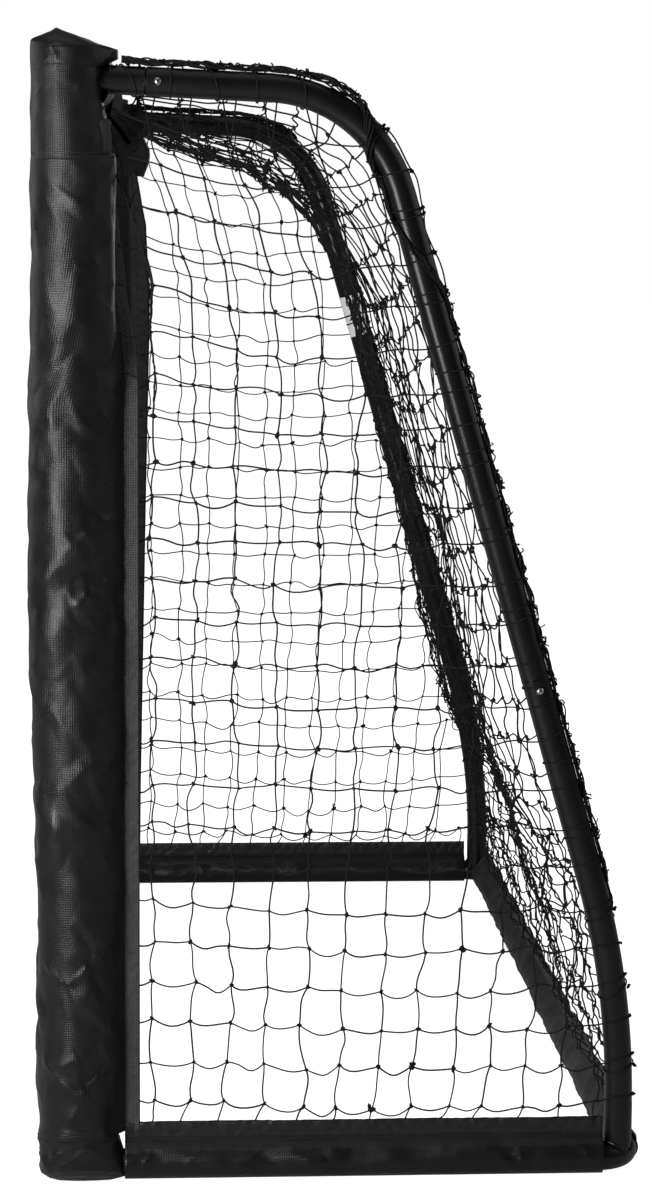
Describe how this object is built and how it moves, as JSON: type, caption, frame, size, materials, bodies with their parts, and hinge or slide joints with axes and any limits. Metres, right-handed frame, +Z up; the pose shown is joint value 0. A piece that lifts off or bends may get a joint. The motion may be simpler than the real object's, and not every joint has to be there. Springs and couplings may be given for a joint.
{
  "type": "hockey goal net",
  "caption": "Street hockey goal: black tube frame with padded front posts and crossbar, cloth covers on the base tubes and a knotted twine net.",
  "frame": {"origin": "centre of the bounding box on the floor, midway between the posts", "axes": "+X to the goal's right side seen from behind the keeper, +Y from the mouth to the rear bar, +Z up"},
  "size_m": [1.4194, 0.618, 1.1477],
  "materials": {
    "frame": "satin black powder coat",
    "zinc": "bright zinc plate",
    "plug": "matte",
    "foam": "matte closed cell foam",
    "cover": "semi-gloss coated cloth with a visible weave",
    "net": "matte knotted twine",
    "label": "matte, blank"
  },
  "bodies": {
    "goal": {"front_post_left": "frame", "front_post_right": "frame", "crossbar": "frame", "top_rail_left": "frame", "top_rail_right": "frame", "rear_upright_left": "frame", "rear_upright_right": "frame", "side_rail_left": "frame", "side_rail_right": "frame", "rear_bar": "frame", "button_springs": "zinc", "post_plugs": "plug", "post_feet": "plug", "post_pad_left": "foam", "post_pad_right": "foam", "crossbar_pad": "foam", "post_cover_left": "cover", "post_cover_right": "cover", "crossbar_cover": "cover", "side_rail_cover_left": "cover", "side_rail_cover_right": "cover", "rear_bar_cover": "cover", "corner_cap_left": "cover", "corner_cap_right": "cover", "post_boot_left": "cover", "post_boot_right": "cover", "side_net_left": "net", "side_net_right": "net", "top_net": "net", "shoulder_net": "net", "back_net": "net", "net_edge_left": "net", "net_edge_right": "net", "net_ties_left": "net", "net_ties_right": "net", "blank_label": "label"},
    "button_top_left": {"button_top_left": "zinc"},
    "button_top_right": {"button_top_right": "zinc"},
    "button_upright_left": {"button_upright_left": "zinc"},
    "button_upright_right": {"button_upright_right": "zinc"},
    "button_crossbar_left": {"button_crossbar_left": "zinc"},
    "button_crossbar_right": {"button_crossbar_right": "zinc"},
    "button_rail_front_left": {"button_rail_front_left": "zinc"},
    "button_rail_front_right": {"button_rail_front_right": "zinc"},
    "button_rail_rear_left": {"button_rail_rear_left": "zinc"},
    "button_rail_rear_right": {"button_rail_rear_right": "zinc"},
    "button_rear_bar_left": {"button_rear_bar_left": "zinc"},
    "button_rear_bar_right": {"button_rear_bar_right": "zinc"}
  },
  "joints": [
    {"name": "press_top_left", "type": "slide", "parent": "goal", "child": "button_top_left", "axis": [1, 0, 0.0081], "range_m": [0, 0.0047], "stiffness_N_per_m": 3000, "springref_m": -0.001},
    {"name": "press_top_right", "type": "slide", "parent": "goal", "child": "button_top_right", "axis": [-1, 0, 0.0081], "range_m": [0, 0.0047], "stiffness_N_per_m": 3000, "springref_m": -0.001},
    {"name": "press_upright_left", "type": "slide", "parent": "goal", "child": "button_upright_left", "axis": [1, 0, 0.0081], "range_m": [0, 0.0047], "stiffness_N_per_m": 3000, "springref_m": -0.001},
    {"name": "press_upright_right", "type": "slide", "parent": "goal", "child": "button_upright_right", "axis": [-1, 0, 0.0081], "range_m": [0, 0.0047], "stiffness_N_per_m": 3000, "springref_m": -0.001},
    {"name": "press_crossbar_left", "type": "slide", "parent": "goal", "child": "button_crossbar_left", "axis": [0, -1, 0], "range_m": [0, 0.0047], "stiffness_N_per_m": 3000, "springref_m": -0.001},
    {"name": "press_crossbar_right", "type": "slide", "parent": "goal", "child": "button_crossbar_right", "axis": [0, -1, 0], "range_m": [0, 0.0047], "stiffness_N_per_m": 3000, "springref_m": -0.001},
    {"name": "press_rail_front_left", "type": "slide", "parent": "goal", "child": "button_rail_front_left", "axis": [0, 0, -1], "range_m": [0, 0.0047], "stiffness_N_per_m": 3000, "springref_m": -0.001},
    {"name": "press_rail_front_right", "type": "slide", "parent": "goal", "child": "button_rail_front_right", "axis": [0, 0, -1], "range_m": [0, 0.0047], "stiffness_N_per_m": 3000, "springref_m": -0.001},
    {"name": "press_rail_rear_left", "type": "slide", "parent": "goal", "child": "button_rail_rear_left", "axis": [0, 0, -1], "range_m": [0, 0.0047], "stiffness_N_per_m": 3000, "springref_m": -0.001},
    {"name": "press_rail_rear_right", "type": "slide", "parent": "goal", "child": "button_rail_rear_right", "axis": [0, 0, -1], "range_m": [0, 0.0047], "stiffness_N_per_m": 3000, "springref_m": -0.001},
    {"name": "press_rear_bar_left", "type": "slide", "parent": "goal", "child": "button_rear_bar_left", "axis": [0, 0, -1], "range_m": [0, 0.0047], "stiffness_N_per_m": 3000, "springref_m": -0.001},
    {"name": "press_rear_bar_right", "type": "slide", "parent": "goal", "child": "button_rear_bar_right", "axis": [0, 0, -1], "range_m": [0, 0.0047], "stiffness_N_per_m": 3000, "springref_m": -0.001}
  ]
}
